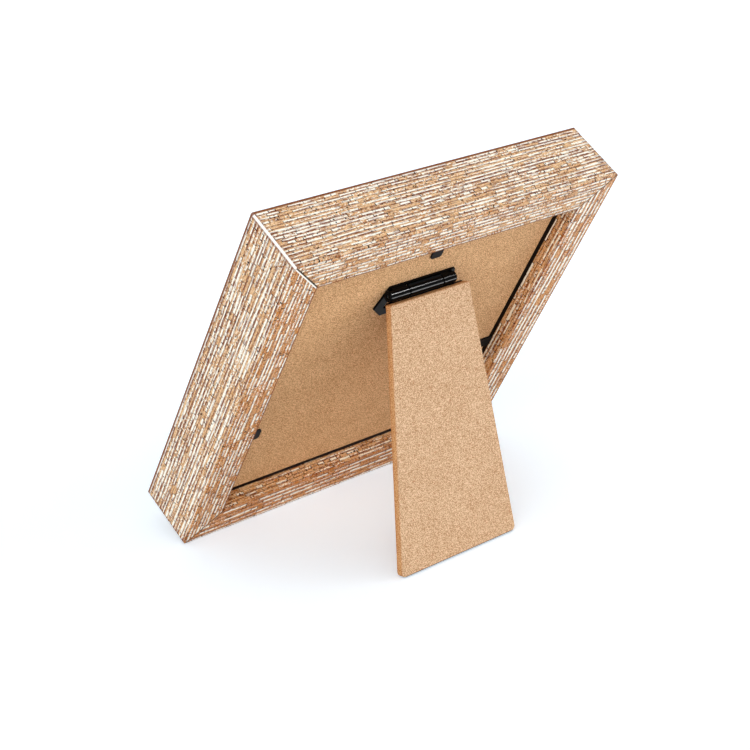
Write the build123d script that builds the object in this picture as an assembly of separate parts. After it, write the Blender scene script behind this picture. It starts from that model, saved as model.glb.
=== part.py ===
from build123d import *
from math import asin, atan2, cos, degrees, hypot, radians, sin
import os

# A square photo frame that leans back on a hinged leg. All sizes are in millimetres.
# Each piece is first made in the upright frame: the rails' back faces lie at Y = 0, the frame stands on
# Z = 0, its middle is at X = 0 and the picture faces -Y. Left and right are as seen from the front.
# The finished pieces are then leaned back together until the frame and the leg both rest on the table.

# Rails: four mitred sticks with a rabbet at the back
FRAME_SIDE = 160.0          # outside width and height
FRAME_DEPTH = 28.0          # front face to back face
RAIL_WIDTH = 15.2           # back face, from the outer edge to the rabbet wall
LIP_WIDTH = 5.0             # front lip that holds the glass, past the rabbet wall
ARRIS_RADIUS = 0.5          # rounding of the long edges
TIP_FLAT = 1.0              # blunting of the sharp mitre tips

# Corner nails: bent plates, driven across each mitre from behind and covered
NAIL_LEG = 7.0              # length of each half of the V
NAIL_THICKNESS = 0.5
NAIL_HEIGHT = 9.0           # how far the nail reaches into the depth of the rail
NAIL_SINK = 2.0             # below the back face
NAIL_INSET = 6.0            # from the outer faces to the bend

# Picture stack, from the back to the front lip
BOARD_RECESS = 7.2          # back faces of the rails to the back of the board
BOARD_THICKNESS = 3.0
BOARD_GAP = 1.8             # board edge to rabbet wall
PRINT_THICKNESS = 0.3
PRINT_GAP = 1.3             # print edge to rabbet wall
GLASS_THICKNESS = 2.0
GLASS_GAP = 0.8             # glass edge to rabbet wall
GLASS_ARRIS = 0.25          # ground edge of the glass

# Flexible points: flat steel tabs driven into the rabbet wall, which are bent up to free the board
TAB_WIDTH = 5.5
TAB_THICKNESS = 0.6
SIDE_TAB_REACH = 10.5       # rabbet wall to the free end
TOP_TAB_REACH = 13.0
TAB_SHANK = 7.5             # length inside the rail
TAB_POINT = 2.0             # taper of the driven end
TAB_LIFT = 0.1              # above the board
TAB_STANDOFF = 0.7          # rabbet wall to the bend line
TAB_PLAY = 0.08             # between the shank and the round root of the blade
TAB_CORNER = 1.2            # rounding of the free corners
TOP_TAB_SHIFT = -1.4        # from the middle of the top rail
RIGHT_TAB_DROP = 28.4       # below the middle of the frame
LEFT_TAB_DROP = 19.2

# Hinge: a three-knuckle barrel between the board and the leg
HINGE_DROP = 40.6           # top of the frame to the hinge axis
HINGE_SHIFT = 0.5           # middle of the hinge, from the middle of the frame to the right
AXIS_HEIGHT = 2.65          # hinge axis above the board
BARREL_RADIUS = 2.2
BARREL_RIGHT = 18.4         # middle of the hinge to the right end of the barrel
BARREL_LEFT = 15.4          # and to the left end
MIDDLE_LENGTH = 17.0        # the leg's knuckle
KNUCKLE_GAP = 0.5           # between neighbouring knuckles
KNUCKLE_ROUND = 0.5         # rounding of the barrel's outer ends
PIN_RADIUS = 0.8
PIN_CLEARANCE = 0.05        # running fit in the leg's knuckle
PIN_RECESS = 0.6            # pin ends inside the barrel
POST_INSET = 2.5            # barrel ends to the posts that carry them

# Base leaf: an open plate on the board, with a post under each end knuckle
BASE_THICKNESS = 0.9
BASE_RISE = 2.5             # hinge axis to its top edge
BASE_TOP_WIDTH = 32.6
BASE_FLARE_WIDTH = 40.4     # widest place
BASE_FLARE_DROP = 8.6       # hinge axis to the widest place
BASE_FOOT_WIDTH = 31.2
BASE_FOOT_DROP = 13.2       # hinge axis to its bottom edge
BASE_TOP_BAR = 0.85
BASE_ARM = 4.4
BASE_CROSS_BAR = 3.8
BASE_WINDOW_CORNER = 0.8

# Rivets: base leaf to board
RIVET_SPACING = 18.0
RIVET_RADIUS = 1.2
RIVET_HEAD_RADIUS = 1.8
RIVET_HEAD_HEIGHT = 0.6
RIVET_CLENCH_RADIUS = 2.0
RIVET_CLENCH_DEPTH = 0.9

# Leg leaf: a plate in the plane of the hinge axis, with the middle knuckle and a heel that stops the leg
LEAF_THICKNESS = 1.0
LEAF_WIDTH = 38.0
LEAF_START = 2.45           # hinge axis to the top of its wings
LEAF_END = 11.0             # hinge axis to its bottom edge
LEAF_CORNER = 2.0
HEEL_THICKNESS = 1.0
HEEL_PLAY = 0.1             # left between the heel and the base leaf when the leg is open
PEG_RADIUS = 1.5            # pegs that are pressed into the leg
PEG_LENGTH = 2.0
PEG_SPACING = 24.0
PEG_DROP = 7.0              # hinge axis to the pegs

# Leg: a flat board that widens to its foot
LEG_ANGLE = 39.4            # open, from the back board, in degrees
LEG_START = 2.8             # hinge axis to its top edge
LEG_LENGTH = 106.35
LEG_TOP_WIDTH = 40.0
LEG_FOOT_WIDTH = 61.0
LEG_THICKNESS = 3.0
LEG_TOP_CORNER = 0.5        # rounding of the corners by the hinge
LEG_FOOT_CORNER = 2.0
LEG_ARRIS = 0.3             # easing of the edges of its outer face

# Places that several pieces share
RABBET_DEPTH = BOARD_RECESS + BOARD_THICKNESS + PRINT_THICKNESS + GLASS_THICKNESS
RABBET_WALL = FRAME_SIDE - RAIL_WIDTH
OPENING = FRAME_SIDE - 2 * RAIL_WIDTH
AXIS_PLACE = Pos(HINGE_SHIFT, AXIS_HEIGHT - BOARD_RECESS, FRAME_SIDE - HINGE_DROP)
MIDDLE_END = (MIDDLE_LENGTH - KNUCKLE_GAP) / 2
OUTER_START = (MIDDLE_LENGTH + KNUCKLE_GAP) / 2
FRAME_MIDDLE = Axis((0, 0, FRAME_SIDE / 2), (0, 1, 0))
QUARTER_TURNS = {"top": 0, "right": 90, "bottom": 180, "left": 270}
NAIL_TURNS = {"top_right": 0, "bottom_right": 90, "bottom_left": 180, "top_left": 270}
TAB_PLACES = {"top": TOP_TAB_SHIFT, "right": RIGHT_TAB_DROP, "left": -LEFT_TAB_DROP}
TAB_REACHES = {"top": TOP_TAB_REACH, "right": SIDE_TAB_REACH, "left": SIDE_TAB_REACH}


def slab(face, back, thickness):
    """A flat piece: a face drawn in X-Z, from Y = back towards the front."""
    return extrude(Plane.XZ.offset(-back) * face, thickness, dir=(0, -1, 0))


def outline(*points):
    """A closed face through its corner points."""
    return make_face(Polyline(*points, close=True))


def mirrored(*points):
    """A face that is the same on both sides of X = 0, from the points of its right half."""
    left = [(-x, z) for x, z in reversed(points)]
    return outline(*points, *left)


def square(gap):
    """A square face in the middle of the frame, smaller than the opening by a gap all round."""
    side = OPENING - 2 * gap
    return Pos(0, FRAME_SIDE / 2) * Rectangle(side, side)


def barrel(start, end, radius):
    """A cylinder on the hinge axis, from X = start to X = end."""
    return Pos((start + end) / 2, 0, 0) * Rot(0, 90, 0) * Cylinder(radius, end - start)


# Rails and corner nails


def rail_section():
    """Section of a rail in Y-Z: flat back, square rabbet, deep front lip, softened arrises."""
    sight = RABBET_WALL - LIP_WIDTH
    section = outline(
        (0, FRAME_SIDE),
        (0, RABBET_WALL),
        (-RABBET_DEPTH, RABBET_WALL),
        (-RABBET_DEPTH, sight),
        (-FRAME_DEPTH, sight),
        (-FRAME_DEPTH, FRAME_SIDE),
    )
    columns = section.vertices().group_by(Axis.X)
    return fillet(columns[0] + columns[-1], ARRIS_RADIUS)


def rail():
    """The top rail: the section run along X and mitred at both ends, with blunted tips."""
    stick = extrude(Plane.YZ * rail_section(), FRAME_SIDE / 2, both=True)
    half = FRAME_SIDE / 2
    reach = RAIL_WIDTH + LIP_WIDTH
    mitres = mirrored(
        (half - TIP_FLAT, FRAME_SIDE),
        (half - TIP_FLAT / 2, FRAME_SIDE - TIP_FLAT / 2),
        (half - reach, FRAME_SIDE - reach),
    )
    return stick & slab(mitres, 0, FRAME_DEPTH)


def v_nail():
    """The nail of the top right corner: one half lies in each rail, the bend on the mitre."""
    bend_x = FRAME_SIDE / 2 - NAIL_INSET
    bend_z = FRAME_SIDE - NAIL_INSET
    plate = outline(
        (bend_x, bend_z),
        (bend_x - NAIL_LEG, bend_z),
        (bend_x - NAIL_LEG, bend_z - NAIL_THICKNESS),
        (bend_x - NAIL_THICKNESS, bend_z - NAIL_THICKNESS),
        (bend_x - NAIL_THICKNESS, bend_z - NAIL_LEG),
        (bend_x, bend_z - NAIL_LEG),
    )
    return slab(plate, -NAIL_SINK, NAIL_HEIGHT)


# Picture stack


def back_board(rivets):
    """The board, drilled for the rivets of the hinge."""
    return slab(square(BOARD_GAP), -BOARD_RECESS, BOARD_THICKNESS) - rivets


def picture_print():
    return slab(square(PRINT_GAP), -BOARD_RECESS - BOARD_THICKNESS, PRINT_THICKNESS)


def glass_pane():
    """The glass, with ground edges all round."""
    pane = slab(square(GLASS_GAP), GLASS_THICKNESS - RABBET_DEPTH, GLASS_THICKNESS)
    rims = pane.faces().sort_by(Axis.Y)
    return chamfer(rims[0].edges() + rims[-1].edges(), GLASS_ARRIS)


# Flexible points, made on the top rail


def tab_shank(place):
    """The driven end: a tapered strip in the rail, which stops short of the bend line."""
    half = TAB_WIDTH / 2
    top = RABBET_WALL + TAB_SHANK
    bottom = RABBET_WALL - TAB_STANDOFF + TAB_THICKNESS / 2 + TAB_PLAY
    strip = mirrored((0, top), (half, top - TAB_POINT), (half, bottom))
    return slab(Pos(place, 0) * strip, TAB_THICKNESS + TAB_LIFT - BOARD_RECESS, TAB_THICKNESS)


def tab_blade(place, reach):
    """The free end: a strip with rounded corners and a round root on the bend line."""
    half = TAB_WIDTH / 2
    bend = RABBET_WALL - TAB_STANDOFF
    strip = mirrored((half, bend), (half, RABBET_WALL - reach))
    strip = fillet(strip.vertices().group_by(Axis.Y)[0], TAB_CORNER)
    back = TAB_THICKNESS + TAB_LIFT - BOARD_RECESS
    root = Pos(0, back - TAB_THICKNESS / 2, bend) * barrel(-half, half, TAB_THICKNESS / 2)
    return Pos(place, 0, 0) * (slab(strip, back, TAB_THICKNESS) + root)


# Hinge pieces, made with the hinge axis at the origin and the leg hanging along the board


def base_plate():
    """The flat of the base leaf: a ring that flares to its arms and narrows to its foot."""
    ring = mirrored(
        (BASE_TOP_WIDTH / 2, BASE_RISE),
        (BASE_FLARE_WIDTH / 2, -BASE_FLARE_DROP),
        (BASE_FOOT_WIDTH / 2, -BASE_FOOT_DROP),
    )
    window = mirrored(
        (BASE_TOP_WIDTH / 2 - BASE_ARM, BASE_RISE - BASE_TOP_BAR),
        (BASE_FLARE_WIDTH / 2 - BASE_ARM, BASE_CROSS_BAR - BASE_FOOT_DROP),
    )
    window = fillet(window.vertices(), BASE_WINDOW_CORNER)
    return slab(ring - window, BASE_THICKNESS - AXIS_HEIGHT, BASE_THICKNESS)


def end_knuckle(end):
    """The knuckle at the right end, rounded on its outside, on a post that stands on the board."""
    knuckle = barrel(OUTER_START, end, BARREL_RADIUS)
    knuckle = fillet(knuckle.edges().group_by(Axis.X)[-1], KNUCKLE_ROUND)
    post_length = end - POST_INSET - OUTER_START
    post = Box(post_length, AXIS_HEIGHT, 2 * BARREL_RADIUS)
    return knuckle + Pos(OUTER_START + post_length / 2, -AXIS_HEIGHT / 2, 0) * post


def hinge_base_leaf(rivets):
    leaf = base_plate() + end_knuckle(BARREL_RIGHT) + mirror(end_knuckle(BARREL_LEFT), Plane.YZ)
    return leaf - barrel(-BARREL_LEFT, BARREL_RIGHT, PIN_RADIUS) - rivets


def hinge_pin():
    return barrel(PIN_RECESS - BARREL_LEFT, BARREL_RIGHT - PIN_RECESS, PIN_RADIUS)


def rivet():
    """A domed rivet along Y, clenched flush in the front of the board."""
    leaf_top = BASE_THICKNESS - AXIS_HEIGHT
    board_front = -AXIS_HEIGHT - BOARD_THICKNESS
    crown = (0, leaf_top + RIVET_HEAD_HEIGHT)
    dome = TangentArc(crown, (RIVET_HEAD_RADIUS, leaf_top), tangent=(1, 0))
    side = Polyline(
        (RIVET_HEAD_RADIUS, leaf_top),
        (RIVET_RADIUS, leaf_top),
        (RIVET_RADIUS, board_front + RIVET_CLENCH_DEPTH),
        (RIVET_CLENCH_RADIUS, board_front),
        (0, board_front),
        crown,
    )
    return revolve(make_face([dome, side]), Axis.Y)


def base_rivets():
    """The two rivets in the cross-bar of the base leaf."""
    drop = BASE_FOOT_DROP - BASE_CROSS_BAR / 2
    return [Pos(side * RIVET_SPACING / 2, 0, -drop) * rivet() for side in (-1, 1)]


def heel():
    """The stop on the leg's knuckle: it meets the base leaf's top bar when the leg is open."""
    room = AXIS_HEIGHT - BASE_THICKNESS - HEEL_PLAY
    reach = room / sin(radians(LEG_ANGLE))
    return slab(mirrored((MIDDLE_END, reach), (MIDDLE_END, 0)), HEEL_THICKNESS, HEEL_THICKNESS)


def hinge_leg_leaf():
    """Middle knuckle, heel, plate under the leg and the two pegs that hold the leg."""
    half = LEAF_WIDTH / 2
    wings = mirrored((half, -LEAF_START), (half, -LEAF_END))
    wings = fillet(wings.vertices().group_by(Axis.Y)[0], LEAF_CORNER)
    neck = mirrored((MIDDLE_END, 0), (MIDDLE_END, -LEAF_END))
    leaf = slab(wings + neck, LEAF_THICKNESS / 2, LEAF_THICKNESS)
    leaf += barrel(-MIDDLE_END, MIDDLE_END, BARREL_RADIUS) + heel()
    peg_middle = (LEAF_THICKNESS + PEG_LENGTH) / 2
    for side in (-1, 1):
        peg = Rot(90, 0, 0) * Cylinder(PEG_RADIUS, PEG_LENGTH)
        leaf += Pos(side * PEG_SPACING / 2, peg_middle, -PEG_DROP) * peg
    return leaf - barrel(-MIDDLE_END, MIDDLE_END, PIN_RADIUS + PIN_CLEARANCE)


def easel_leg(leaf):
    """The leg: a tapered board on the leaf, with an eased outer face and blind holes for the pegs."""
    shape = mirrored(
        (LEG_TOP_WIDTH / 2, -LEG_START),
        (LEG_FOOT_WIDTH / 2, -LEG_START - LEG_LENGTH),
    )
    rows = shape.vertices().group_by(Axis.Y)
    shape = fillet(rows[0], LEG_FOOT_CORNER)
    shape = fillet(shape.vertices().group_by(Axis.Y)[-1], LEG_TOP_CORNER)
    board = slab(shape, LEAF_THICKNESS / 2 + LEG_THICKNESS, LEG_THICKNESS)
    outer_face = board.faces().sort_by(Axis.Y)[-1]
    return chamfer(outer_face.edges(), LEG_ARRIS) - leaf


# Assembly


def rest_lean():
    """Lean, in degrees, at which the rounded bottom back arris and the leg's foot both touch the table."""
    angle = radians(LEG_ANGLE)
    foot = LEG_START + LEG_LENGTH
    axis = AXIS_PLACE.position
    foot_y = axis.Y + foot * sin(angle) + LEAF_THICKNESS / 2 * cos(angle)
    foot_z = axis.Z - foot * cos(angle) + LEAF_THICKNESS / 2 * sin(angle)
    across = foot_y + ARRIS_RADIUS
    rise = foot_z - ARRIS_RADIUS
    return degrees(atan2(rise, across) + asin(ARRIS_RADIUS / hypot(across, rise)))


def upright_pieces():
    """Every piece by name, in the upright frame."""
    pieces = {}
    nails = {corner: v_nail().rotate(FRAME_MIDDLE, turn) for corner, turn in NAIL_TURNS.items()}
    shanks = {}
    for side, place in TAB_PLACES.items():
        turn = QUARTER_TURNS[side]
        shanks[side] = tab_shank(place).rotate(FRAME_MIDDLE, turn)
        pieces[f"tab_shank_{side}"] = shanks[side]
        blade = tab_blade(place, TAB_REACHES[side])
        pieces[f"tab_blade_{side}"] = blade.rotate(FRAME_MIDDLE, turn)
    for side, turn in QUARTER_TURNS.items():
        stick = rail().rotate(FRAME_MIDDLE, turn)
        pieces[f"{side}_rail"] = stick - list(nails.values()) - list(shanks.values())
    for corner, nail in nails.items():
        pieces[f"v_nail_{corner}"] = nail

    pieces["glass_pane"] = glass_pane()
    pieces["picture_print"] = picture_print()
    rivets = base_rivets()
    placed_rivets = [AXIS_PLACE * piece for piece in rivets]
    pieces["back_board"] = back_board(placed_rivets)
    pieces["base_rivets"] = Compound(placed_rivets)
    pieces["hinge_base_leaf"] = AXIS_PLACE * hinge_base_leaf(rivets)
    pieces["hinge_pin"] = AXIS_PLACE * hinge_pin()

    opened = AXIS_PLACE * Rot(LEG_ANGLE, 0, 0)
    leaf = hinge_leg_leaf()
    pieces["hinge_leg_leaf"] = opened * leaf
    pieces["easel_leg"] = opened * easel_leg(leaf)
    return pieces


def stand_place(pieces):
    """Where the upright frame goes: leaned back, resting on Z = 0, with its box centred on the origin."""
    leaned = Rot(-rest_lean(), 0, 0)
    box = Compound([leaned * piece for piece in pieces.values()]).bounding_box()
    return Pos(-box.center().X, -box.center().Y, -box.min.Z) * leaned


pieces = upright_pieces()
stand = stand_place(pieces)
os.makedirs("parts", exist_ok=True)
for node, piece in pieces.items():
    export_step(stand * piece, f"parts/{node}.step")
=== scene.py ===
# %% [markdown]
# # An easel back photo frame, seen from behind
# Four mitred sticks of foil-wrapped moulding hold a fibreboard back. A black plastic hinge on the back
# carries the leg that the frame leans on. Three black steel points, driven into the rails, lie over the
# board and keep it in. The solids come from the CAD part. This lesson gives them their finishes, and sets
# up the photographer's table.

# %% Load the solids
import math

import bpy
from mathutils import Matrix, Vector


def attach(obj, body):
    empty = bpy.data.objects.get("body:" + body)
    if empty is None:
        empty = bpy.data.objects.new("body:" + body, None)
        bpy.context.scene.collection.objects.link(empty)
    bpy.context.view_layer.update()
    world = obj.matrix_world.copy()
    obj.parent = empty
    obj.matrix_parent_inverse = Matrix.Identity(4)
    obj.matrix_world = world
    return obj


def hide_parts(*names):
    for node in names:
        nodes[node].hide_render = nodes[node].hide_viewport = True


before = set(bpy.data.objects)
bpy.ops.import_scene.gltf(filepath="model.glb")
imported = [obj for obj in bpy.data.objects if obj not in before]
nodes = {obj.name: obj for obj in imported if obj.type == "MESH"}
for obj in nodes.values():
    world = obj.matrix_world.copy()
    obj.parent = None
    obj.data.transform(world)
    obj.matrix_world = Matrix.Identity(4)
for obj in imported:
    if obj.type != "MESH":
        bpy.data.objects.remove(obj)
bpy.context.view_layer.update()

# %% [markdown]
# ## Where the frame stands
# The frame leans back, so world axes don't run along its rails. A print that follows the rails needs axes
# that lean with them. The lean and the places of walls and faces could be typed in, but read from the
# meshes they follow the CAD part: the back board's largest triangle faces straight out of the back, and the
# corners of the solids, measured along the leaning axes, give the rest.

# %% Read the lean, and where the frame's walls and faces are
RAILS = {"lying": ("top_rail", "bottom_rail"), "standing": ("left_rail", "right_rail")}
METRES_TO_MM = 1000.0


def broad_normal(node):
    """The way that a node's largest face looks, towards the back of the room."""
    largest = max(nodes[node].data.polygons, key=lambda face: face.area)
    return largest.normal.copy() if largest.normal.y > 0 else -largest.normal


def corners(*names):
    """All the corners of the named solids."""
    return [vertex.co for name in names for vertex in nodes[name].data.vertices]


def leaning(corner):
    """A corner's side, depth and height in mm, from the middle of the frame's back."""
    return tuple((corner - frame_middle).dot(axis) * METRES_TO_MM for axis in (side, back, up))


back = broad_normal("back_board")
side = Vector((1.0, 0.0, 0.0))
up = side.cross(back)
lean = math.atan2(up.y, up.z)
rail_corners = corners(*RAILS["lying"], *RAILS["standing"])
heights = [corner.dot(up) for corner in rail_corners]
depths = [corner.dot(back) for corner in rail_corners]
half_width = (max(heights) - min(heights)) / 2 * METRES_TO_MM
rail_depth = (max(depths) - min(depths)) * METRES_TO_MM
frame_middle = up * (max(heights) + min(heights)) / 2 + back * max(depths)
print("lean %.2f deg, half width %.2f mm, depth %.2f mm" % (math.degrees(lean), half_width, rail_depth))

board_recess = -max(depth for x, depth, height in map(leaning, corners("back_board")))
rabbet_floor = -min(depth for x, depth, height in map(leaning, corners("glass_pane")))
wall_half = min(max(abs(x), abs(height)) for x, depth, height in map(leaning, rail_corners)
                if depth > -board_recess)
print("board %.3f mm down, rabbet floor %.3f mm down, wall %.3f mm out"
      % (board_recess, rabbet_floor, wall_half))

# %% [markdown]
# ## Short words for shader nodes
# Every finish here is a small graph of nodes. Adding nodes one by one takes many lines, so this class holds
# a node tree and gives each usual step one call. Most calls add one node and hand back its main output
# socket.

# %% A helper that writes node graphs
FIRM_SHARE = 0.6


class Graph:
    """A node tree, with one short call for each kind of step."""

    def __init__(self, tree):
        self.tree = tree

    def feed(self, node, inputs):
        """Set a node's inputs to plain values, or link them to other sockets."""
        for key, value in inputs.items():
            if isinstance(value, bpy.types.NodeSocket):
                self.tree.links.new(value, node.inputs[key])
            else:
                node.inputs[key].default_value = value

    def node(self, kind, inputs=None, **options):
        """Add a node, set its options, then feed its inputs."""
        made = self.tree.nodes.new(kind)
        for name, value in options.items():
            setattr(made, name, value)
        self.feed(made, inputs or {})
        return made

    def math(self, operation, *values):
        """One sum on one, two or three values."""
        return self.node("ShaderNodeMath", dict(enumerate(values)), operation=operation).outputs[0]

    def vector(self, x=0.0, y=0.0, z=0.0):
        """Three values as one vector."""
        return self.node("ShaderNodeCombineXYZ", {0: x, 1: y, 2: z}).outputs[0]

    def dot(self, vector, direction):
        """How far a vector reaches along a direction."""
        inputs = {0: vector, 1: direction}
        return self.node("ShaderNodeVectorMath", inputs, operation="DOT_PRODUCT").outputs["Value"]

    def place(self):
        """The place on the solid, in metres."""
        return self.node("ShaderNodeTexCoord").outputs["Object"]

    def place_in_mm(self):
        """The place on the solid, in mm."""
        inputs = {0: self.place(), "Scale": METRES_TO_MM}
        return self.node("ShaderNodeVectorMath", inputs, operation="SCALE").outputs[0]

    def band(self, value, low, high, start=0.0, end=1.0):
        """A soft step: start below low, end above high."""
        inputs = {"Value": value, "From Min": low, "From Max": high, "To Min": start, "To Max": end}
        return self.node("ShaderNodeMapRange", inputs, interpolation_type="SMOOTHSTEP").outputs[0]

    def past(self, value, edge, width, ink=1.0, firm=FIRM_SHARE):
        """A line of this width just past an edge: full ink for the firm share of it, then a soft end."""
        return self.band(value, edge + width * firm, edge + width, ink, 0.0)

    def up_to(self, value, edge, width, ink=1.0):
        """A line of this width that ends at an edge: a soft start, then full ink for the firm share of it."""
        return self.band(value, edge - width, edge - width * FIRM_SHARE, 0.0, ink)

    def noise(self, vector, scale=1.0, detail=1.0):
        """Soft random values around one half."""
        inputs = {"Vector": vector, "Scale": scale, "Detail": detail}
        return self.node("ShaderNodeTexNoise", inputs).outputs[0]

    def random(self, first, second):
        """Random numbers for a pair of values, as a value and as a colour."""
        inputs = {"Vector": self.vector(first, second)}
        return self.node("ShaderNodeTexWhiteNoise", inputs, noise_dimensions="2D").outputs

    def split(self, colour):
        """A colour's red, green and blue. From a random colour they are three random numbers."""
        return self.node("ShaderNodeSeparateColor", {0: colour}).outputs

    def mix(self, factor, first, second, blend="MIX"):
        """A colour between two others, or one laid on the other. The colour sockets are 6, 7 and 2."""
        inputs = {0: factor, 6: first, 7: second}
        return self.node("ShaderNodeMix", inputs, data_type="RGBA", blend_type=blend).outputs[2]

    def ramp(self, value, stops):
        """A colour ramp from a list of (place, colour)."""
        made = self.node("ShaderNodeValToRGB", {0: value})
        points = made.color_ramp.elements
        while len(points) < len(stops):
            points.new(1.0)
        for point, (place, colour) in zip(points, stops):
            point.position, point.color = place, colour
        return made.outputs[0]


def srgb(red, green, blue):
    """A colour as a picture gives it, 0 to 255, turned into shader values by the standard sRGB curve."""
    def linear(share):
        return share / 12.92 if share <= 0.04045 else ((share + 0.055) / 1.055) ** 2.4
    return tuple(linear(channel / 255) for channel in (red, green, blue)) + (1.0,)


def new_group(name, inputs, outputs):
    """An empty node group with its sockets, its graph, and the sockets that its inputs come from."""
    group = bpy.data.node_groups.new(name, "ShaderNodeTree")
    for direction, sockets in (("INPUT", inputs), ("OUTPUT", outputs)):
        for label, kind in sockets:
            group.interface.new_socket(label, in_out=direction, socket_type="NodeSocket" + kind)
    graph = Graph(group)
    return group, graph, graph.node("NodeGroupInput").outputs


def new_material(name, **settings):
    """A material whose shader already has its plain numbers set."""
    material = bpy.data.materials.new(name)
    material.use_nodes = True
    graph = Graph(material.node_tree)
    shader = material.node_tree.nodes["Principled BSDF"]
    graph.feed(shader, {socket.replace("_", " "): value for socket, value in settings.items()})
    return material, graph, shader


def bump(graph, shader, height, strength, distance):
    """Raise or sink the surface by a height map. The distance is in metres."""
    made = graph.node("ShaderNodeBump", {"Height": height, "Strength": strength, "Distance": distance})
    graph.feed(shader, {"Normal": made.outputs[0]})


def dress(material, *names):
    """Give a finish to the named solids."""
    for name in names:
        for slot in nodes[name].material_slots:
            slot.material = material
    print(material.name, "on", ", ".join(names))


print("white paper in shader values:", [round(value, 3) for value in srgb(250, 248, 240)])

# %% [markdown]
# ## The print on the rails: rows and slivers
# The moulding is wrapped in a printed foil that imitates split, limed wood. It runs in rows, one and a half
# to three millimetres wide. A row has a limed half in white slivers, a broken brown line below it, and a
# bare tan half. It could be painted as a picture, but a graph has no resolution limit and never repeats.
# The rows come from rounding the place across the rail down to whole numbers. Each half row then looks up
# its own stretch of a one-dimensional Voronoi pattern, which cuts it into slivers of random length and
# gives every sliver its random numbers. Lengths and widths in the prints are in mm.

# %% A node group that prints the foil: rows and slivers
ROW_WANDER, WANDER_LENGTH, WANDER_WIDTH = 1.0, 45.0, 9.0
ROW_UNEVEN, UNEVEN_PITCH = 1.2, 2.9
EDGE_RAGGED, RAGGED_LENGTH, RAGGED_WIDTH = 0.1, 2.5, 0.9
LIMED_PARTS, LINE_UNEVEN = (0.30, 0.44), (0.8, 1.3)
SLIVER_LENGTHS = (0.45, 1.7)
STEP_IN_PATTERN = 37.3

FOIL_LABELS = ("Along", "Across", "Row", "Sliver", "White Share", "Line Share", "Brown", "Seed")
foil_inputs = [(label, "Float") for label in FOIL_LABELS]
foil_group, g, given = new_group("foil_print", foil_inputs, [("Color", "Color"), ("Height", "Float")])
along, across, pitch, sliver, white_share, line_share, brown, seed = (given[label] for label in FOIL_LABELS)


def stretched(beside, length, width, detail=1.0):
    """Noise in the foil group that is drawn out along the rail."""
    place = g.vector(g.math("DIVIDE", along, length), g.math("DIVIDE", beside, width), seed)
    return g.noise(place, detail=detail)


wander = g.math("MULTIPLY_ADD", stretched(across, WANDER_LENGTH, WANDER_WIDTH), ROW_WANDER, across)
uneven_at = g.vector(g.math("DIVIDE", wander, UNEVEN_PITCH), seed)
uneven = g.math("MULTIPLY_ADD", g.noise(uneven_at), ROW_UNEVEN, wander)
ragged = g.math("MULTIPLY_ADD", stretched(across, RAGGED_LENGTH, RAGGED_WIDTH), EDGE_RAGGED, uneven)
rows = g.math("DIVIDE", ragged, pitch)
row, inside = g.math("FLOOR", rows), g.math("FRACT", rows)
row_random = g.random(row, seed)
line_random = g.split(row_random["Color"])[2]
row_line = g.math("MULTIPLY", line_share, g.band(line_random, 0.0, 1.0, *LINE_UNEVEN))
below_limed = g.math("SUBTRACT", inside, g.band(row_random["Value"], 0.0, 1.0, *LIMED_PARTS))
bare_half = g.math("GREATER_THAN", below_limed, g.math("MULTIPLY", row_line, 0.5))
half_row = g.math("MULTIPLY_ADD", row, 2.0, bare_half)

half_random = g.random(half_row, seed)["Value"]
length = g.math("MULTIPLY", sliver, g.band(half_random, 0.0, 1.0, *SLIVER_LENGTHS))
along_half = g.math("MULTIPLY_ADD", g.math("ADD", half_row, seed), STEP_IN_PATTERN,
                    g.math("DIVIDE", along, length))
pattern = {"W": along_half, "Scale": 1.0}
slivers = g.node("ShaderNodeTexVoronoi", pattern, voronoi_dimensions="1D")
ends = g.node("ShaderNodeTexVoronoi", pattern, voronoi_dimensions="1D", feature="DISTANCE_TO_EDGE")
chances = g.split(slivers.outputs["Color"])
end_gap = g.math("MULTIPLY", ends.outputs["Distance"], length)
print("rows and slivers:", len(foil_group.nodes), "nodes")

# %% [markdown]
# ## The print on the rails: colours and ink
# A sliver's random numbers decide whether it is limed or bare, how brown it is, whether a line runs under
# it and whether a dark tick marks its end. Hair lines, specks and dots go over everything. Each of these
# could be a picture of its own. Here each is a noise or a Voronoi pattern cut off at two close limits,
# because that gives the crisp edge of a print at any distance.

# %% The same group: colours of the slivers
WHITE, CREAM = srgb(255, 252, 240), srgb(236, 200, 156)
TAN, DEEP_TAN = srgb(216, 168, 116), srgb(204, 132, 64)
WOOD_TONES = [(0.12, CREAM), (0.45, TAN), (0.6, TAN), (0.9, DEEP_TAN)]
FIELD_LENGTH, FIELD_WIDTH, FIELD_LIMITS = 18.0, 6.0, (0.3, 0.7)
FLECK_LENGTH, FLECK_WIDTH, FLECK_LIMITS = 0.9, 0.5, (0.38, 0.62)
SLIVER_WEIGHT, FLECK_WEIGHT, FIELD_WEIGHT, BARE_HALF_WEIGHT = 0.7, 0.25, 0.05, 0.68
SLIVER_TONE, FLECK_TONE = 0.3, 0.6
LIMED_SOFT = 0.03

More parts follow.
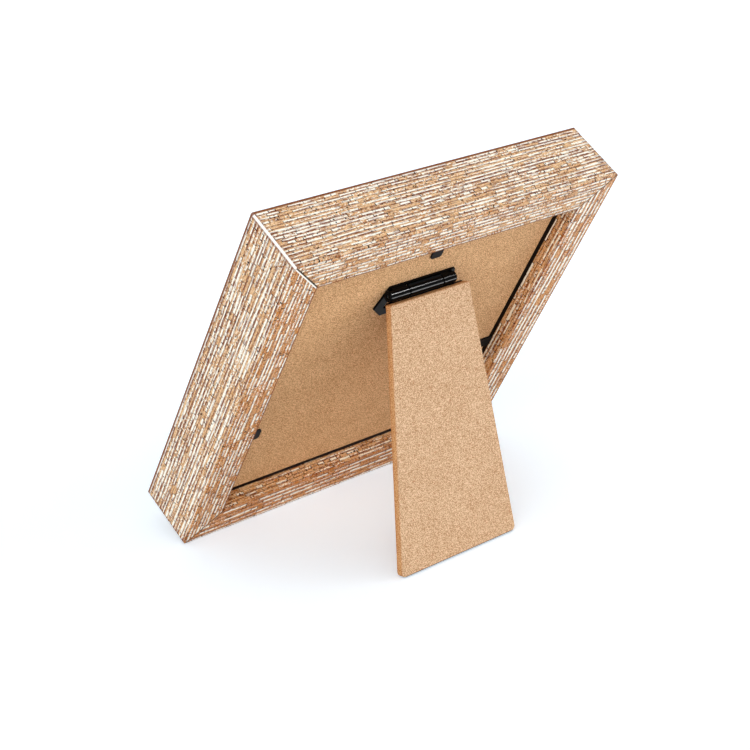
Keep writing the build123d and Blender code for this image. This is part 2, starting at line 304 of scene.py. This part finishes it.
field = g.band(stretched(across, FIELD_LENGTH, FIELD_WIDTH, detail=2.0), *FIELD_LIMITS)
fleck = g.band(stretched(across, FLECK_LENGTH, FLECK_WIDTH), *FLECK_LIMITS)
draw = g.math("MULTIPLY", chances[0], SLIVER_WEIGHT)
for mark, weight in ((fleck, FLECK_WEIGHT), (field, FIELD_WEIGHT), (bare_half, BARE_HALF_WEIGHT)):
    draw = g.math("MULTIPLY_ADD", mark, weight, draw)
limed = g.band(g.math("SUBTRACT", white_share, draw), -LIMED_SOFT, LIMED_SOFT)
tone = g.math("MULTIPLY_ADD", fleck, FLECK_TONE, g.math("MULTIPLY", chances[1], SLIVER_TONE))
wood = g.mix(limed, g.ramp(g.math("ADD", brown, tone), WOOD_TONES), WHITE)
print("with colours:", len(foil_group.nodes), "nodes")

# %% The same group: lines under the slivers, ticks at their ends, specks and dots
LINE_BROWN, DARK_TICK = srgb(112, 44, 0), srgb(20, 4, 0)
LINE_SOFT, LINE_ON_TAN = 0.04, 0.8
LINE_CHANCE, LINE_LEAST = (0.2, 0.3), 0.1
BREAK_LENGTH, BREAK_STEP, BREAK_LIMITS, BREAK_INK = 2.2, 3.7, (0.34, 0.5), 0.3
HAIR_LENGTH, HAIR_WIDTH, HAIR_LIMITS, HAIR_INK = 5.0, 0.5, (0.54, 0.66), 0.6
SPECK_LENGTH, SPECK_WIDTH = 0.7, 0.5
PALE_SPECKS, PALE_SPECK_INK = (0.54, 0.66), 0.25
DARK_SPECKS, DARK_SPECK_INK = (0.34, 0.46), 0.3
TICK_HALF_WIDTH, TICK_CHANCE = 0.24, (0.4, 0.45)
DOT_CELL, DOT_RADIUS, DOT_FIRM, DOT_CHANCE = 1.7, 0.24, 0.7, (0.55, 0.6)
LIME_HEIGHT = 0.5

ink_at = g.vector(g.math("DIVIDE", along, BREAK_LENGTH), g.math("MULTIPLY", row, BREAK_STEP), seed)
ink = g.band(g.noise(ink_at, detail=2.0), *BREAK_LIMITS, BREAK_INK, 1.0)
in_line = g.math("MULTIPLY", g.band(below_limed, 0.0, LINE_SOFT),
                 g.band(g.math("SUBTRACT", below_limed, row_line), -LINE_SOFT, 0.0, 1.0, 0.0))
has_line = g.band(chances[2], *LINE_CHANCE, LINE_LEAST, 1.0)
line = g.math("MULTIPLY", g.math("MULTIPLY", in_line, has_line),
              g.math("MULTIPLY", ink, g.band(limed, 0.0, 1.0, LINE_ON_TAN, 1.0)))
hair = g.band(stretched(uneven, HAIR_LENGTH, HAIR_WIDTH), *HAIR_LIMITS, 0.0, HAIR_INK)
printed = g.mix(g.math("MAXIMUM", line, hair), wood, LINE_BROWN)

speck = stretched(across, SPECK_LENGTH, SPECK_WIDTH)
printed = g.mix(g.band(speck, *PALE_SPECKS, 0.0, PALE_SPECK_INK), printed, WHITE)
printed = g.mix(g.band(speck, *DARK_SPECKS, DARK_SPECK_INK, 0.0), printed, LINE_BROWN)

tick = g.math("MULTIPLY", g.past(end_gap, 0.0, TICK_HALF_WIDTH), g.band(chances[1], *TICK_CHANCE))
dot_cells = {"Vector": g.vector(along, across, seed), "Scale": 1.0 / DOT_CELL}
dots = g.node("ShaderNodeTexVoronoi", dot_cells).outputs
dot = g.math("MULTIPLY", g.past(dots["Distance"], 0.0, DOT_RADIUS, firm=DOT_FIRM),
             g.band(g.split(dots["Color"])[0], *DOT_CHANCE))
printed = g.mix(g.math("MAXIMUM", tick, dot), printed, DARK_TICK)
relief = g.math("SUBTRACT", g.math("MULTIPLY", limed, LIME_HEIGHT), line)
g.node("NodeGroupOutput", {"Color": printed, "Height": relief})
print("foil print:", len(foil_group.nodes), "nodes")

# %% [markdown]
# ## The print on each rail
# The print runs along each rail and wraps round its edges. Seen in axes that lean with the frame, the place
# along a rail is one axis, and the place across it is the sum of the other two, because one of those two
# stands still on every face. The rails could be unwrapped instead, but that would have to be done again
# whenever the solids change. The outer faces share their print, and each back face has its own. Inside the
# opening the print is made browner, with less lime, as painted shade.

# %% The print's values on each rail
OUTER_PRINT = {
    "lying": {"Row": 1.55, "Sliver": 7.0, "White Share": 0.63, "Line Share": 0.45, "Brown": -0.15},
    "standing": {"Row": 1.75, "Sliver": 8.0, "White Share": 0.68, "Line Share": 0.46, "Brown": -0.15},
}
BACK_PRINT = {
    "top_rail": {"Row": 1.8, "Sliver": 3.6, "White Share": 0.63, "Line Share": 0.32, "Brown": 0.06},
    "bottom_rail": {"Row": 2.9, "Sliver": 9.0, "White Share": 0.64, "Line Share": 0.38, "Brown": 0.5},
    "left_rail": {"Row": 2.5, "Sliver": 9.0, "White Share": 0.56, "Line Share": 0.30, "Brown": 0.35},
    "right_rail": {"Row": 1.8, "Sliver": 5.5, "White Share": 0.60, "Line Share": 0.32, "Brown": 0.3},
}
# Painted shade inside the opening: less lime and more brown.
INSIDE_SHADE_CHANGES = {"White Share": -0.2, "Brown": 0.18}
RAIL_SEEDS = {"top_rail": 8.17, "bottom_rail": 19.17, "left_rail": 11.17, "right_rail": 22.17}
BACK_EDGE = 0.5


def leaning_axes(graph):
    """Places in mm along the frame's own axes, from the middle of its back: side, depth and height."""
    inputs = {"Vector": graph.place(), "Location": frame_middle, "Rotation": (-lean, 0.0, 0.0),
              "Scale": (1 / METRES_TO_MM,) * 3}
    turned = graph.node("ShaderNodeMapping", inputs, vector_type="TEXTURE").outputs[0]
    return graph.node("ShaderNodeSeparateXYZ", {0: turned}).outputs


def rail_print(graph, name, lie, axes, in_opening):
    """The foil group with one rail's values for its outer faces and its back, with painted shade inside the
    opening.
    """
    x, depth, height = axes
    along, beside = (x, height) if lie == "lying" else (height, x)
    inputs = {"Along": along, "Across": graph.math("ADD", depth, beside), "Seed": RAIL_SEEDS[name]}
    for label, outer in OUTER_PRINT[lie].items():
        inputs[label] = graph.band(depth, -BACK_EDGE, -BACK_EDGE / 2, outer, BACK_PRINT[name][label])
    for label, change in INSIDE_SHADE_CHANGES.items():
        inputs[label] = graph.math("MULTIPLY_ADD", in_opening, change, inputs[label])
    return graph.node("ShaderNodeGroup", inputs, node_tree=foil_group).outputs


print("rows at the back:", {name: values["Row"] for name, values in BACK_PRINT.items()})

# %% [markdown]
# ## Edges, mitres and corners of the rails
# Where two rails meet, the foil stops and the cut shows as a dark hairline. Long edges carry thin brown
# lines; the one along the inner edge is partly the foil's edge and partly painted shade of the gap by the
# board. The outer corners are rubbed brown, and one upper corner is worn through to the white core. Below
# the board, the wall of the opening is bare wood coloured near-black as painted shade of the deep gap, and
# on two rails this painted shade rises a little above the board. These marks could be thin pieces of their
# own, but on the real frame they have no thickness. So each is a mask, made from the distance to an edge or
# a mitre, that lays its colour over the print.

# %% Dress the rails
CORE_WHITE, EDGE_DARK = srgb(253, 250, 244), srgb(116, 54, 12)
# The rabbet colour is bare wood made near-black as painted shade of the gap.
MITRE_DARK, RABBET_BARE_AND_SHADE = srgb(20, 8, 0), srgb(26, 18, 12)
EDGE_LINE, FRONT_LINE, FRONT_INK = 0.7, 1.5, 0.9
OUTER_INKS = {"top_rail": 0.0, "bottom_rail": 0.9, "left_rail": 0.9, "right_rail": 0.0}
# Inner inks: partly the line of the foil's edge, partly painted shade of the gap by the board.
INNER_LINE_AND_SHADE_INKS = {"top_rail": 0.8, "bottom_rail": 0.2, "left_rail": 0.1, "right_rail": 0.8}
MITRE_WIDTHS, MITRE_INK, MITRE_FIRM = {"lying": 0.85, "standing": 0.1}, 0.9, 0.7
PALE_WIDTH, PALE_INKS, PALE_FIRM = 0.9, {"lying": 0.0, "standing": 1.0}, 0.8
WORN_REACH, WORN_INKS = 1.7, {"lying": 0.3, "standing": 0.5}
CORE_REACH, CORE_HALF, CORE_SOFT = 1.02, 0.6, 0.12
# The inner tint darkens and warms the colour inside the opening, as painted shade.
WALL_SKIN, WALL_SOFT, INNER_SHADE_TINT = 0.3, 0.1, (1.0, 0.94, 0.85, 1.0)
# How far the painted shade of the gap rises above the board on each rail, and its soft edge.
GAP_SHADE_ABOVE_BOARD = {"top_rail": 0.0, "bottom_rail": 0.2, "left_rail": 0.7, "right_rail": 0.0}
GAP_SHADE_SOFT, LIP_MARGIN = 0.1, 0.2
FOIL_BUMP, FOIL_RELIEF = 0.3, 0.00006


def foil_material(name, lie):
    """The finish of one rail: its print, with lines, mitres, worn corners, painted shade in the opening and
    the bare, shaded wall laid over it.
    """
    material, graph, shader = new_material("foil_" + name, Roughness=0.6, Specular_IOR_Level=0.1)
    axes = leaning_axes(graph)
    x, depth, height = axes
    away_x, away_z = graph.math("ABSOLUTE", x), graph.math("ABSOLUTE", height)
    reach = graph.math("MAXIMUM", away_x, away_z)
    tip = graph.math("ADD", away_x, away_z)
    off_mitre = graph.math("ABSOLUTE", graph.math("SUBTRACT", away_x, away_z))
    worn_corner = graph.math("GREATER_THAN", graph.math("MINIMUM", x, height), 0.0)
    at_outside = graph.up_to(reach, half_width, EDGE_LINE)
    wall = wall_half + WALL_SKIN
    in_opening = graph.band(reach, wall - WALL_SOFT, wall, 1.0, 0.0)
    worn_from, core_from = 2 * half_width - WORN_REACH, 2 * half_width - CORE_REACH

    outer_line = graph.math("MULTIPLY", graph.up_to(depth, 0.0, EDGE_LINE, OUTER_INKS[name]), at_outside)
    pale = graph.past(off_mitre, 0.0, PALE_WIDTH, PALE_INKS[lie], PALE_FIRM)
    pale = graph.math("MULTIPLY", pale, worn_corner)
    cut = graph.math("MULTIPLY", graph.past(off_mitre, 0.0, MITRE_WIDTHS[lie], MITRE_INK, MITRE_FIRM),
                     graph.math("SUBTRACT", 1.0, at_outside))
    worn = graph.band(tip, worn_from, worn_from + CORE_SOFT, 0.0, WORN_INKS[lie])
    core = graph.math("MULTIPLY", graph.band(tip, core_from - CORE_SOFT, core_from), worn_corner)
    core = graph.math("MULTIPLY", core, graph.band(off_mitre, CORE_HALF, CORE_HALF + CORE_SOFT, 1.0, 0.0))
    front_line = graph.math("MULTIPLY", graph.past(depth, -rail_depth, FRONT_LINE, FRONT_INK),
                            graph.up_to(reach, half_width, FRONT_LINE))
    # The brown line along the inner edge: partly the foil's edge, partly painted shade of the gap by the
    # board.
    inner_line_and_shade = graph.math("MULTIPLY", graph.up_to(depth, 0.0, EDGE_LINE),
                            graph.past(reach, wall, EDGE_LINE, INNER_LINE_AND_SHADE_INKS[name]))

    foil = rail_print(graph, name, lie, axes, in_opening)
    colour = foil["Color"]
    for mask, over in ((outer_line, LINE_BROWN), (pale, CORE_WHITE), (cut, MITRE_DARK), (worn, LINE_BROWN),
                       (core, CORE_WHITE), (front_line, EDGE_DARK), (inner_line_and_shade, LINE_BROWN)):
        colour = graph.mix(mask, colour, over)
    # Painted shade inside the opening.
    colour = graph.mix(in_opening, colour, INNER_SHADE_TINT, "MULTIPLY")

    # Bare wood below the board, coloured near-black as painted shade of the deep gap.
    gap_shade_from = GAP_SHADE_ABOVE_BOARD[name] - board_recess
    below_board = graph.band(depth, gap_shade_from - GAP_SHADE_SOFT, gap_shade_from + GAP_SHADE_SOFT, 1.0, 0.0)
    above_lip = graph.band(depth, -rabbet_floor - 2 * LIP_MARGIN, -rabbet_floor - LIP_MARGIN)
    bare_and_gap_shade = graph.math("MULTIPLY", in_opening, graph.math("MULTIPLY", below_board, above_lip))
    graph.feed(shader, {"Base Color": graph.mix(bare_and_gap_shade, colour, RABBET_BARE_AND_SHADE)})
    bump(graph, shader, foil["Height"], FOIL_BUMP, FOIL_RELIEF)
    return material


for lie, names in RAILS.items():
    for name in names:
        dress(foil_material(name, lie), name)

# %% [markdown]
# ## Fibreboard
# The back board and the leg are thin fibreboard: tan pulp pressed flat, with pale and dark grains and a few
# red-brown knots. A picture of pulp would do, but it would repeat, and both pieces would need unwrapping.
# One group makes the pulp for both from the place in space. A fine noise gives the grain, a stretched and
# turned one the fibres, a wide one the clouds, and the peaks of a fourth the knots.

# %% A node group that presses the pulp
GRAIN_SIZE, CLOUD_SIZE, KNOT_SIZE = 0.36, 14.0, 0.8
FIBRE_SIZES, FIBRE_TURN = (0.6, 0.3, 0.6), (0.4, 0.5, 0.7)
GRAIN_WEIGHT, FIBRE_WEIGHT, CLOUD_WEIGHT = 1.2, 0.2, 0.02
SHADE_LIMITS, CLOUD_LIMITS, KNOT_LIMITS = (0.52, 0.88), (0.3, 0.7), (0.66, 0.74)
KNOT_RED = srgb(168, 98, 52)

pulp_inputs = [("Place", "Vector"), ("Pale", "Color"), ("Dark", "Color"), ("Knots", "Float")]
pulp_group, g, given = new_group("pressed_pulp", pulp_inputs, [("Color", "Color"), ("Height", "Float")])
place = given["Place"]
grain = g.noise(place, 1 / GRAIN_SIZE, detail=0.0)
fibre_map = {"Vector": place, "Rotation": FIBRE_TURN, "Scale": tuple(1 / size for size in FIBRE_SIZES)}
fibre = g.noise(g.node("ShaderNodeMapping", fibre_map).outputs[0], detail=0.0)
shade = g.math("MULTIPLY_ADD", grain, GRAIN_WEIGHT, g.math("MULTIPLY", fibre, FIBRE_WEIGHT))
cloud = g.band(g.noise(place, 1 / CLOUD_SIZE, detail=2.0), *CLOUD_LIMITS, -CLOUD_WEIGHT, CLOUD_WEIGHT)
pulp = g.mix(g.band(g.math("ADD", shade, cloud), *SHADE_LIMITS), given["Dark"], given["Pale"])
knot = g.band(g.noise(place, 1 / KNOT_SIZE), *KNOT_LIMITS)
pulp = g.mix(g.math("MULTIPLY", knot, given["Knots"]), pulp, KNOT_RED)
g.node("NodeGroupOutput", {"Color": pulp, "Height": shade})
print("pressed pulp:", len(pulp_group.nodes), "nodes")

# %% [markdown]
# ## Sawn edges
# A sawn edge cuts through the layers of the sheet, so it is redder and striped. The leg's foot gets painted
# shade along its bottom edge, where it stands on the table. The edge faces could have a second material, with
# a hard border.
# Here the turn between the surface and the broad face decides, so the leg's eased edges fade from one to
# the other.

# %% Dress the board and the leg
BOARD_PALE, BOARD_DARK = srgb(235, 193, 148), srgb(172, 127, 80)
LEG_PALE, LEG_DARK = srgb(226, 194, 160), srgb(174, 133, 95)
# The foot colour is painted shade where the leg meets the table.
EDGE_BROWN, EDGE_PALE, FOOT_SHADE = srgb(172, 106, 52), srgb(218, 170, 116), srgb(70, 48, 34)
KNOT_INK = 0.6
LAYER_SIZE, LAYER_MIDDLE, LAYER_LIMITS, LAYER_PULP = 1.3, 0.56, (0.35, 0.65), 0.8
SAWN_LIMITS, SAWN_INK = (0.3, 0.9), 0.85
# Painted shade along the foot's bottom edge: its width and strength.
FOOT_SHADE_WIDTH, FOOT_SHADE_INK = 0.5, 0.85
PULP_BUMP, PULP_RELIEF = 0.3, 0.0001


def fibreboard_material(name, node, pale, dark, foot=None):
    """Pressed pulp. Where the surface isn't a broad face, the sawn edge shows the sheet's layers."""
    material, graph, shader = new_material(name, Roughness=0.75, Specular_IOR_Level=0.1)
    place = graph.place_in_mm()
    inputs = {"Place": place, "Pale": pale, "Dark": dark, "Knots": KNOT_INK}
    pulp = graph.node("ShaderNodeGroup", inputs, node_tree=pulp_group).outputs
    normal = broad_normal(node)
    flat = graph.math("ABSOLUTE", graph.dot(graph.node("ShaderNodeTexCoord").outputs["Normal"], normal))
    through = graph.math("DIVIDE", graph.dot(place, normal), LAYER_SIZE)
    layer = graph.math("SUBTRACT", graph.noise(graph.vector(through), detail=2.0), LAYER_MIDDLE)
    layer = graph.math("MULTIPLY_ADD", pulp["Height"], LAYER_PULP, layer)
    edge = graph.mix(graph.band(layer, *LAYER_LIMITS), EDGE_BROWN, EDGE_PALE)
    colour = graph.mix(graph.band(flat, *SAWN_LIMITS, SAWN_INK, 0.0), pulp["Color"], edge)
    # Painted shade where the foot stands on the table.
    if foot is not None:
        end = max(corner.dot(foot) for corner in corners(node)) * METRES_TO_MM
        foot_shade = graph.band(graph.dot(place, foot), end - FOOT_SHADE_WIDTH, end - FOOT_SHADE_WIDTH / 2, 0.0, FOOT_SHADE_INK)
        colour = graph.mix(foot_shade, colour, FOOT_SHADE)
    graph.feed(shader, {"Base Color": colour})
    bump(graph, shader, pulp["Height"], PULP_BUMP, PULP_RELIEF)
    return material


leg_down = -side.cross(broad_normal("easel_leg"))
dress(fibreboard_material("fibreboard_back", "back_board", BOARD_PALE, BOARD_DARK), "back_board")
dress(fibreboard_material("fibreboard_leg", "easel_leg", LEG_PALE, LEG_DARK, leg_down), "easel_leg")
print("the leg points", [round(value, 3) for value in leg_down])

# %% [markdown]
# ## Black plastic, black steel and bright steel
# The hinge is moulded in black plastic with a satin skin, the points are blackened spring steel, and the
# pin, the rivets and the nails are bright steel. They differ in colour and shine, but all of them carry the
# same fine rub marks. The marks could be made in each material, but one group keeps them alike, and each
# material decides how far they go.

# %% A node group of rub marks
STREAK_SCALE, SKIN_SCALE = (0.25, 2.5, 2.5), 4.0
STREAK_WEIGHT, SKIN_WEIGHT, RUB_LIMITS = 0.6, 0.4, (0.3, 0.7)

rub_inputs = [("Place", "Vector"), ("Low", "Float"), ("High", "Float")]
rub_group, g, given = new_group("rub_marks", rub_inputs, [("Roughness", "Float"), ("Height", "Float")])
streak_at = g.node("ShaderNodeMapping", {"Vector": given["Place"], "Scale": STREAK_SCALE}).outputs[0]
streak = g.noise(streak_at, detail=3.0)
skin = g.noise(given["Place"], SKIN_SCALE)
rub = g.math("MULTIPLY_ADD", skin, SKIN_WEIGHT, g.math("MULTIPLY", streak, STREAK_WEIGHT))
spread = g.math("SUBTRACT", given["High"], given["Low"])
roughness = g.math("MULTIPLY_ADD", g.band(rub, *RUB_LIMITS), spread, given["Low"])
g.node("NodeGroupOutput", {"Roughness": roughness, "Height": skin})
print("rub marks:", len(rub_group.nodes), "nodes")

# %% Dress the hinge, the points and the fasteners
STAIN_SCALE, STAIN_SHADE, SKIN_BUMP = 0.35, 0.7, 0.2
PLASTIC_BLACK, STEEL_BLACK, STEEL_BRIGHT = srgb(9, 9, 10), srgb(14, 15, 18), srgb(190, 190, 188)
PLASTIC_SKIN, STEEL_SKIN = 0.000003, 0.00002


def rubbed_material(name, colour, low, high, skin, **settings):
    """A plain-coloured hard finish whose roughness goes from low to high. The skin's height is in metres."""
    material, graph, shader = new_material(name, **settings)
    place = graph.place_in_mm()
    inputs = {"Place": place, "Low": low, "High": high}
    rub = graph.node("ShaderNodeGroup", inputs, node_tree=rub_group).outputs
    stained = tuple(channel * STAIN_SHADE for channel in colour[:3]) + (1.0,)
    shade = graph.mix(graph.noise(place, STAIN_SCALE, detail=2.0), stained, colour)
    graph.feed(shader, {"Base Color": shade, "Roughness": rub["Roughness"]})
    bump(graph, shader, rub["Height"], SKIN_BUMP, skin)
    return material


def named(start):
    """The solids whose names start alike."""
    return [name for name in sorted(nodes) if name.startswith(start)]


black_plastic = rubbed_material("black_plastic", PLASTIC_BLACK, low=0.10, high=0.14, skin=PLASTIC_SKIN,
                                Specular_IOR_Level=0.045)
dress(black_plastic, "hinge_base_leaf", "hinge_leg_leaf")
black_steel = rubbed_material("black_steel", STEEL_BLACK, low=0.3, high=0.5, skin=STEEL_SKIN,
                              Specular_IOR_Level=0.06)
dress(black_steel, *named("tab_"))
bright_steel = rubbed_material("bright_steel", STEEL_BRIGHT, low=0.2, high=0.4, skin=STEEL_SKIN, Metallic=1.0)
dress(bright_steel, "hinge_pin", "base_rivets", *named("v_nail"))

# %% [markdown]
# ## Glass and paper
# At the front, a pane of picture glass covers a sheet of plain photo paper. The glass is clear with a faint
# green body and a few dull smears. The paper is a warm white with a very fine tooth, and carries no
# picture. Both could be one plain value each, but glass and paper without any change over their surface
# look like plastic.

# %% Two materials for the front
GLASS_TINT, PAPER_WARM, PAPER_PALE = srgb(246, 252, 249), srgb(236, 231, 222), srgb(243, 240, 234)
SMEAR_SCALE, SMEAR_LIMITS, SMEAR_DULL = 60.0, (0.45, 0.75), 0.06
TINT_SCALE, TOOTH_SCALE, TOOTH_BUMP, TOOTH_HEIGHT = 25.0, 2500.0, 0.15, 0.00003

glass, graph, shader = new_material("picture_glass", Transmission_Weight=1.0, IOR=1.52)
smear = graph.noise(graph.place(), SMEAR_SCALE, detail=3.0)
graph.feed(shader, {"Base Color": GLASS_TINT, "Roughness": graph.band(smear, *SMEAR_LIMITS, 0.0, SMEAR_DULL)})
dress(glass, "glass_pane")

paper, graph, shader = new_material("photo_paper", Roughness=0.4)
tint = graph.noise(graph.place(), TINT_SCALE, detail=2.0)
graph.feed(shader, {"Base Color": graph.mix(tint, PAPER_WARM, PAPER_PALE)})
bump(graph, shader, graph.noise(graph.place(), TOOTH_SCALE, detail=2.0), TOOTH_BUMP, TOOTH_HEIGHT)

# %% [markdown]
# ## The sheet behind the glass
# On the solids the paper touches the glass, and two faces in one place fight over which of them is seen.
# The glass could be moved, but solids stay where they are. So the sheet is made again from a copy of its
# solid, with its front face drawn back by less than a hair, and takes the solid's place.

# %% Make the sheet again
AIR_GAP = 0.00006  # metres

sheet_mesh = nodes["picture_print"].data.copy()
front_face = min(vertex.co.dot(back) for vertex in sheet_mesh.vertices)
for vertex in sheet_mesh.vertices:
    if vertex.co.dot(back) < front_face + AIR_GAP:
        vertex.co += back * AIR_GAP
sheet_mesh.materials.clear()
sheet_mesh.materials.append(paper)
sheet = bpy.data.objects.new("print_sheet", sheet_mesh)
bpy.context.scene.collection.objects.link(sheet)
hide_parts("picture_print")
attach(sheet, "frame")
dress(paper, "picture_print")
print("print sheet:", len(sheet_mesh.polygons), "faces")

# %% [markdown]
# ## The light
# The photographer's room is white, and the light is so wide that little shadow is left. One large lamp
# could do it all, but here each lamp has one task and can be set alone. A white world gives the even light.
# A low, broad sun from the right of the picture throws the hinge's soft shadow over the board, and a
# broader one from the left fills the outer sides. A small sun and a card on the table, which only
# reflections see, put two glints on the hinge.

# %% Set the light
WORLD_LIGHT, WHITE_LIGHT = 0.68, (1.0, 1.0, 1.0, 1.0)
# Each sun: where it comes from, strength, spread in degrees, does it light things, does it shine in them
SUNS = {
    "right_sun": ((-0.85, 0.5, 0.15), 1.3, 40.0, True, False),
    "low_fill": ((0.75, 0.56, 0.3), 1.55, 60.0, True, True),
    "hinge_spark": ((-0.589, 0.571, 0.572), 2.8, 4.0, False, True),
}
CARD_PLACE, CARD_SIZE, CARD_POWER = (-0.16, 0.20, 0.002), 0.09, 1.1


def looked_at(graph):
    """1 for what the camera sees, also mirrored or through glass, and 0 for light on its way."""
    ray = graph.node("ShaderNodeLightPath").outputs
    turned = graph.math("MAXIMUM", ray["Is Glossy Ray"], ray["Is Transmission Ray"])
    return graph.math("MAXIMUM", ray["Is Camera Ray"], turned)


scene = bpy.context.scene
scene.view_settings.view_transform = "Standard"
world = bpy.data.worlds.new("white_room")
scene.world = world
world.use_nodes = True
room = Graph(world.node_tree)
brightness = room.math("MULTIPLY_ADD", looked_at(room), 1.0 - WORLD_LIGHT, WORLD_LIGHT)
room.feed(world.node_tree.nodes["Background"], {"Color": WHITE_LIGHT, "Strength": brightness})

for name, (comes_from, strength, spread, lights, shines) in SUNS.items():
    sun = bpy.data.objects.new(name, bpy.data.lights.new(name, "SUN"))
    sun.data.energy, sun.data.angle = strength, math.radians(spread)
    sun.rotation_euler = Vector(comes_from).to_track_quat("Z", "Y").to_euler()
    sun.visible_diffuse, sun.visible_glossy = lights, shines
    scene.collection.objects.link(sun)

card = bpy.data.objects.new("hinge_card", bpy.data.lights.new("hinge_card", "AREA"))
card.data.energy, card.data.size = CARD_POWER, CARD_SIZE
card.location, card.rotation_euler = CARD_PLACE, (math.pi, 0.0, 0.0)
card.visible_diffuse = card.visible_camera = False
scene.collection.objects.link(card)
print("lights:", ", ".join(SUNS), "and", card.name)

# %% [markdown]
# ## The table
# The table is a sheet of white paper that runs out of sight. Plain white paper comes out grey in a render,
# and the frame throws warm light on it. More light would bleach the frame too. So the floor shows the
# camera a cool glow of its own, which makes it white and leaves its shadow.

# %% Lay the floor
FLOOR_SIZE, FLOOR_GLOW, GLOW_TINT = 6.0, 0.33, (0.64, 0.83, 1.0, 1.0)
FLOOR_SEEN, FLOOR_LIT = (0.95, 0.98, 1.0, 1.0), (0.9, 0.9, 0.9, 1.0)

bpy.ops.mesh.primitive_plane_add(size=FLOOR_SIZE, location=(0.0, 0.0, 0.0))
floor = bpy.context.object
floor.name = "floor"
floor_paper, graph, shader = new_material("floor_paper", Roughness=0.9, Specular_IOR_Level=0.0)
seen = looked_at(graph)
graph.feed(shader, {"Base Color": graph.mix(seen, FLOOR_LIT, FLOOR_SEEN), "Emission Color": GLOW_TINT,
                    "Emission Strength": graph.math("MULTIPLY", seen, FLOOR_GLOW)})
floor.data.materials.append(floor_paper)
print("floor: %.0f m wide" % FLOOR_SIZE)

# %% [markdown]
# ## The camera
# The camera stands behind the frame, a little above it and to one side. Its place and turn were found by
# matching the frame's corners to the view that is wanted. They could be angles, but three directions in a
# matrix are exact, and say at once where the camera looks and which way is right.

# %% Set the camera
CAMERA_PLACE = Vector((0.425274, 0.497199, 0.359038))
CAMERA_LOOKS = Vector((-0.589459, -0.692743, -0.415506))
CAMERA_RIGHT = Vector((-0.762883, 0.646521, 0.004370))
LENS_MM, SENSOR_MM = 85.9876, 36.0

camera = bpy.data.objects.new("camera", bpy.data.cameras.new("camera"))
camera.data.lens, camera.data.sensor_width = LENS_MM, SENSOR_MM
camera_up = CAMERA_RIGHT.cross(CAMERA_LOOKS)
turn = Matrix((CAMERA_RIGHT, camera_up, -CAMERA_LOOKS)).transposed()
camera.matrix_world = Matrix.Translation(CAMERA_PLACE) @ turn.to_4x4()
scene.collection.objects.link(camera)
scene.camera = camera
print("camera is %.0f mm from the middle" % ((CAMERA_PLACE - frame_middle).length * METRES_TO_MM))
